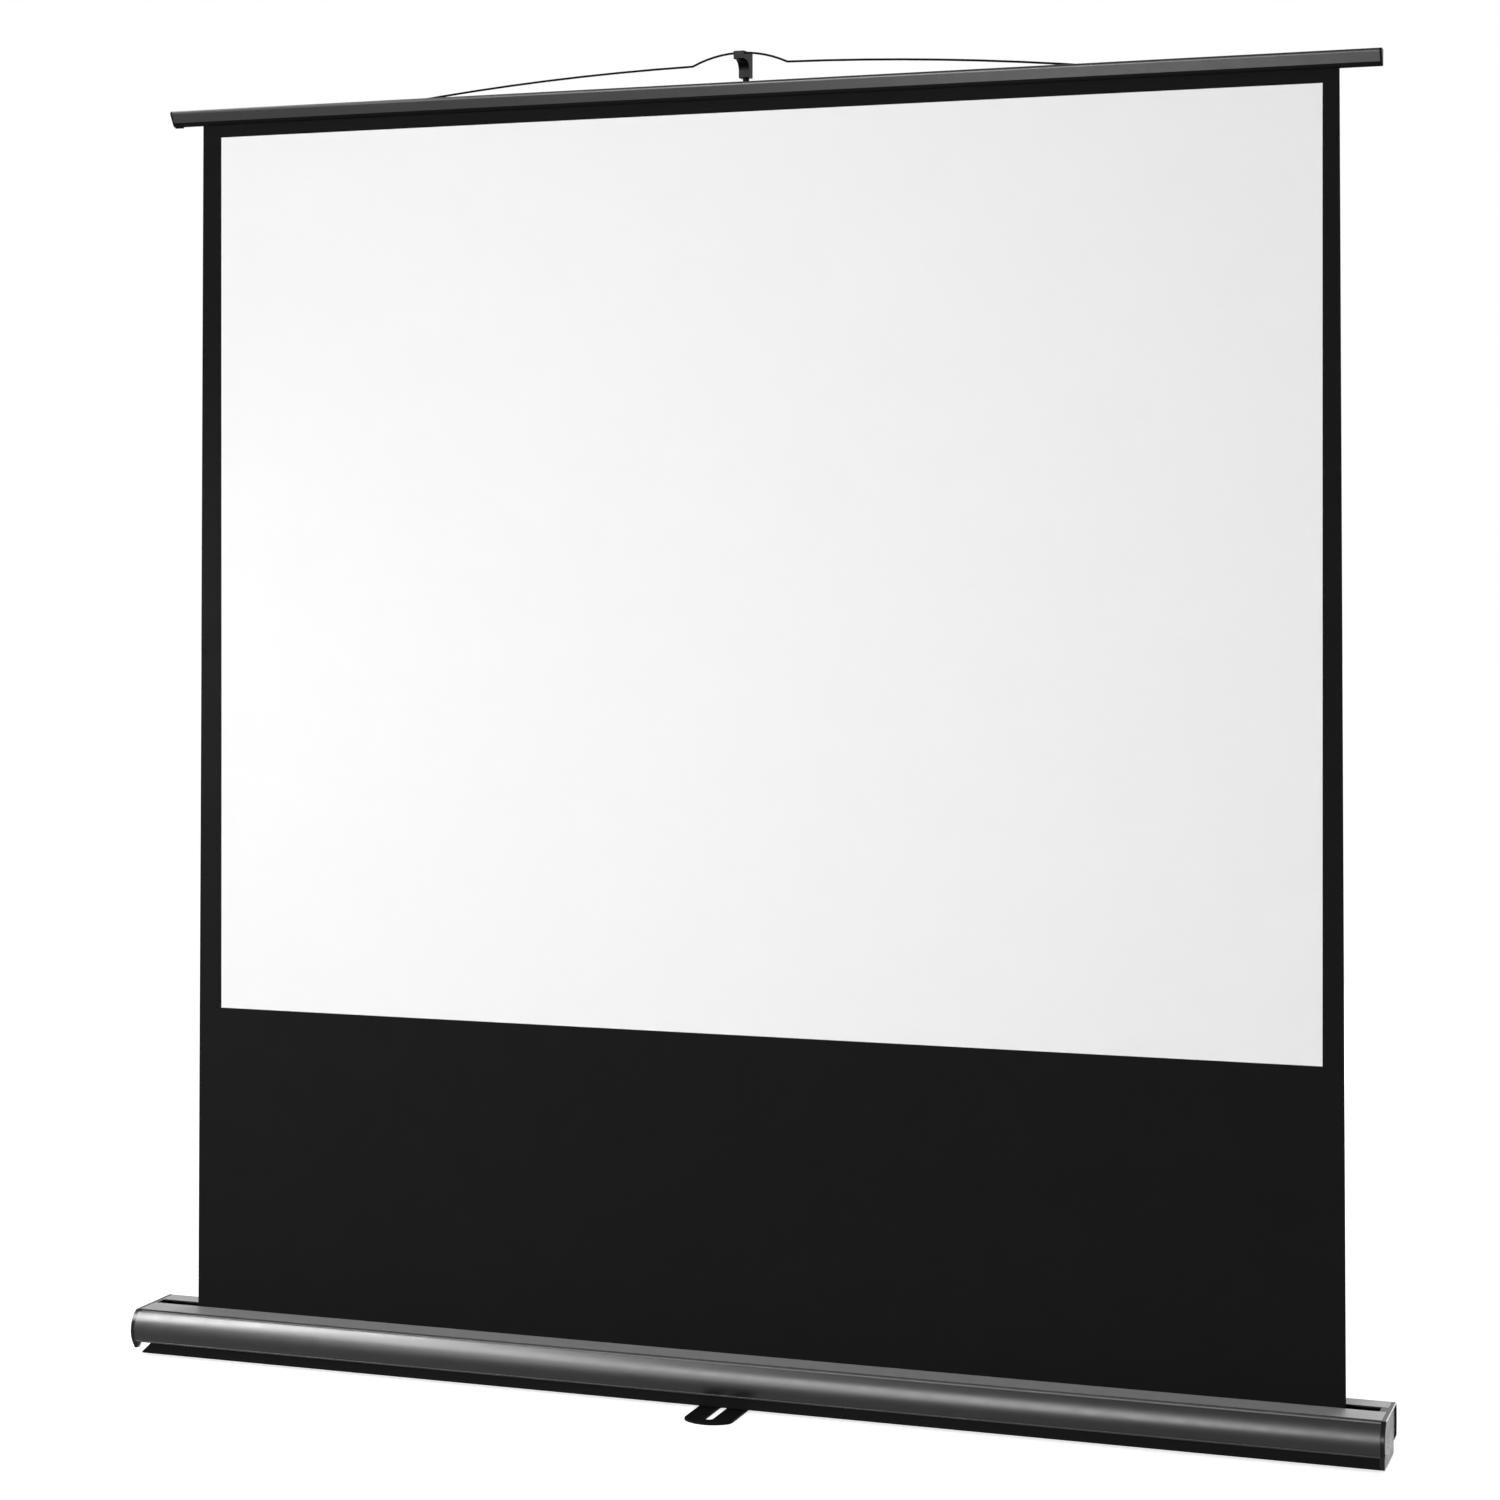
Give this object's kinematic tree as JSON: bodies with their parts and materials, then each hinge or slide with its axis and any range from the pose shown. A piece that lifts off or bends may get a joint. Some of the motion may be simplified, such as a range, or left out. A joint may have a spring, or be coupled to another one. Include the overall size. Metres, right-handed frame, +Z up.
{
  "type": "portable projection screen",
  "caption": "Floor-standing pull-up projection screen: bordered white cloth drawn from a spring-roller case, its slat hung by a wire bail on a folding telescopic mast.",
  "frame": {"origin": "on the floor, under the middle of the case's length and the middle of the swivel foot's depth", "axes": "+X along the case to the viewer's right, +Y away from the viewer towards the back, +Z up"},
  "size_m": [1.803, 0.232, 1.8574],
  "materials": {
    "black_anodised": "satin black anodised",
    "black_steel": "satin black powder coat",
    "black_plastic": "fine moulded grain",
    "black_rubber": "matt",
    "zinc_steel": "zinc plated",
    "dark_screw": "black zinc",
    "plain_aluminium": "mill finish",
    "black_cloth": "matt coated",
    "white_cloth": "matt white"
  },
  "bodies": {
    "case": {"case_shell": "black_anodised", "base_rail": "black_steel", "rail_end_plugs": "black_plastic", "rail_screws": "zinc_steel", "left_end_cap": "black_plastic", "right_end_cap": "black_plastic", "end_cap_screws": "dark_screw", "foot_pads": "black_rubber", "foot_rivet": "zinc_steel", "foot_washer": "zinc_steel", "roller_bracket_left": "zinc_steel", "roller_bracket_right": "zinc_steel", "spring_shaft": "zinc_steel", "roller_spring": "zinc_steel", "screen_cloth": "black_cloth", "image_surface": "white_cloth", "mast_bracket": "black_steel", "mast_bracket_screws": "dark_screw", "mast_pivot_pin": "zinc_steel", "mast_clip": "black_plastic", "handle_ears": "black_plastic", "handle_screws": "dark_screw"},
    "roller": {"roller_tube": "plain_aluminium", "roller_end_plug": "black_plastic", "roller_spring_plug": "black_plastic", "roller_inner_bush": "black_plastic", "cloth_wraps": "black_cloth"},
    "screen_bar": {"top_slat": "black_anodised", "slat_cap_left": "black_plastic", "slat_cap_right": "black_plastic", "cloth_keder": "black_plastic", "bail_wire": "black_steel", "bail_anchors": "black_plastic", "bail_anchor_screws": "dark_screw"},
    "mast_lower": {"mast_knuckle": "black_plastic", "mast_lower_tube": "black_anodised", "lower_clamp_collar": "black_plastic"},
    "lower_knob": {"lower_clamp_knob": "black_plastic"},
    "mast_middle": {"mast_middle_tube": "black_anodised", "middle_clamp_collar": "black_plastic", "middle_tube_bush": "black_plastic"},
    "middle_knob": {"middle_clamp_knob": "black_plastic"},
    "mast_top": {"mast_top_tube": "black_anodised", "top_tube_bush": "black_plastic", "hook_spigot": "black_steel", "mast_hook": "black_plastic"},
    "foot": {"swivel_foot": "black_steel"},
    "handle": {"carry_handle": "black_plastic"}
  },
  "joints": [
    {"name": "screen_slide", "type": "slide", "parent": "case", "child": "screen_bar", "axis": [0, 0, 1], "range_m": [-1.7255, 0], "deforming": ["screen_cloth", "image_surface", "bail_wire"]},
    {"name": "roller_spin", "type": "hinge", "parent": "case", "child": "roller", "pos_m": [0.0135, 0.00183, 0.042], "axis": [1, 0, 0], "range_deg": [-6300, 0]},
    {"name": "mast_fold", "type": "hinge", "parent": "case", "child": "mast_lower", "pos_m": [0.0135, 0.0465, 0.08], "axis": [0, 1, 0], "range_deg": [0, 90], "deforming": ["bail_wire"]},
    {"name": "mast_middle_slide", "type": "slide", "parent": "mast_lower", "child": "mast_middle", "axis": [0, 0, 1], "range_m": [-0.52, 0]},
    {"name": "mast_top_slide", "type": "slide", "parent": "mast_middle", "child": "mast_top", "axis": [0, 0, 1], "range_m": [-0.52, 0]},
    {"name": "lower_knob_turn", "type": "hinge", "parent": "mast_lower", "child": "lower_knob", "pos_m": [0.0135, 0.07, 0.70167], "axis": [0, 1, 0], "range_deg": [0, 360]},
    {"name": "middle_knob_turn", "type": "hinge", "parent": "mast_middle", "child": "middle_knob", "pos_m": [0.0135, 0.07, 1.25233], "axis": [0, 1, 0], "range_deg": [0, 360]},
    {"name": "foot_swivel", "type": "hinge", "parent": "case", "child": "foot", "pos_m": [0.0095, 0, 0.003], "axis": [0, 0, 1], "range_deg": [0, 90]},
    {"name": "handle_swing", "type": "hinge", "parent": "case", "child": "handle", "pos_m": [0.0135, 0.0715, 0.042], "axis": [1, 0, 0], "range_deg": [0, 110]}
  ],
  "couplings": [
    {"joint": "roller_spin", "follows": "screen_slide", "rad_per_m": 63.7}
  ]
}
